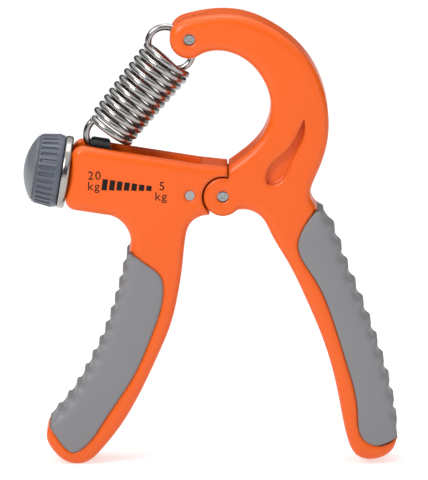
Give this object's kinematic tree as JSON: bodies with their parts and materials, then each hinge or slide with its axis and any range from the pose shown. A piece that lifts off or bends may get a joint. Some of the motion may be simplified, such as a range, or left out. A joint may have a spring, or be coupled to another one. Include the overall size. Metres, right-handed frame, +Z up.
{
  "type": "adjustable hand grip strengthener",
  "caption": "Adjustable spring hand gripper: two pivoted handles with grip sleeves, a coil tension spring, and a knob and lead screw that set its pull.",
  "frame": {"origin": "centre of the bounding box's bottom, under the pivoted frame", "axes": "+Z up from the handle ends to the hook, +X from the knob towards the moving handle, +Y through the width to the far face"},
  "size_m": [0.1242, 0.0249, 0.1498],
  "materials": {
    "orange_plastic": "satin moulded",
    "grey_rubber": "matt soft-touch",
    "knob_plastic": "satin",
    "cap_plastic": "satin",
    "plated_steel": "polished",
    "chromed_collar": "polished",
    "zinc_steel": "zinc plated",
    "dark_steel": "blackened",
    "spring_steel": "polished",
    "brass_bush": "machined",
    "white_nylon": "plain"
  },
  "bodies": {
    "fixed_handle": {"fixed_arm": "orange_plastic", "fixed_grip_sleeve": "grey_rubber", "collar_ring": "chromed_collar", "rear_bush": "brass_bush", "tip_bearing": "brass_bush", "tip_cross_pin": "plated_steel"},
    "moving_handle": {"moving_arm": "orange_plastic", "moving_grip_sleeve": "grey_rubber", "pivot_barrel": "plated_steel", "pivot_screws": "plated_steel", "pivot_washers": "white_nylon", "hook_pin": "plated_steel", "hook_screws": "plated_steel"},
    "adjuster": {"lead_screw": "zinc_steel", "adjusting_knob": "knob_plastic", "knob_washer": "zinc_steel", "knob_nut": "zinc_steel", "knob_cap": "cap_plastic"},
    "slider": {"slider_block": "dark_steel", "slider_pin": "dark_steel"},
    "spring_lower": {"spring_lower": "spring_steel"},
    "spring_coil_low": {"spring_coil_low": "spring_steel"},
    "spring_coil_high": {"spring_coil_high": "spring_steel"},
    "spring_upper": {"spring_upper": "spring_steel"}
  },
  "joints": [
    {"name": "squeeze", "type": "hinge", "parent": "fixed_handle", "child": "moving_handle", "pos_m": [0.00358, 0, 0.08945], "axis": [0, 1, 0], "range_deg": [0, 48], "stiffness_Nm_per_rad": 3.3, "springref_deg": -41.25},
    {"name": "slider_travel", "type": "slide", "parent": "fixed_handle", "child": "slider", "axis": [0.9885, 0, -0.1513], "range_m": [0, 0.02]},
    {"name": "knob_turn", "type": "hinge", "parent": "fixed_handle", "child": "adjuster", "pos_m": [-0.00722, 0, 0.08995], "axis": [-0.9885, 0, 0.1513], "range_deg": [-7201.44, 0]},
    {"name": "spring_swing", "type": "hinge", "parent": "slider", "child": "spring_lower", "pos_m": [-0.03682, 0, 0.1054], "axis": [0, 1, 0], "range_deg": [0, 30.2]},
    {"name": "spring_lean", "type": "hinge", "parent": "spring_lower", "child": "spring_coil_low", "pos_m": [-0.03299, 0, 0.11012], "axis": [0, 1, 0], "range_deg": [-29.58, 0], "deforming": ["spring_coil_low"]},
    {"name": "spring_set", "type": "slide", "parent": "spring_coil_low", "child": "spring_coil_high", "axis": [0.6311, 0, 0.7757], "range_m": [-0.00558, 0], "deforming": ["spring_coil_high"]},
    {"name": "spring_stretch", "type": "slide", "parent": "spring_coil_high", "child": "spring_upper", "axis": [0.6311, 0, 0.7757], "range_m": [0, 0.03011], "deforming": ["spring_upper", "spring_lower"]}
  ],
  "couplings": [
    {"joint": "knob_turn", "follows": "slider_travel", "rad_per_m": -6283.2},
    {"joint": "spring_lean", "follows": "slider_travel", "rad_per_m": -25.808},
    {"joint": "spring_set", "follows": "slider_travel", "ratio": -0.27884},
    {"joint": "spring_swing", "follows": "squeeze", "ratio": 0.6291},
    {"joint": "spring_stretch", "follows": "squeeze", "m_per_rad": 0.035937}
  ]
}
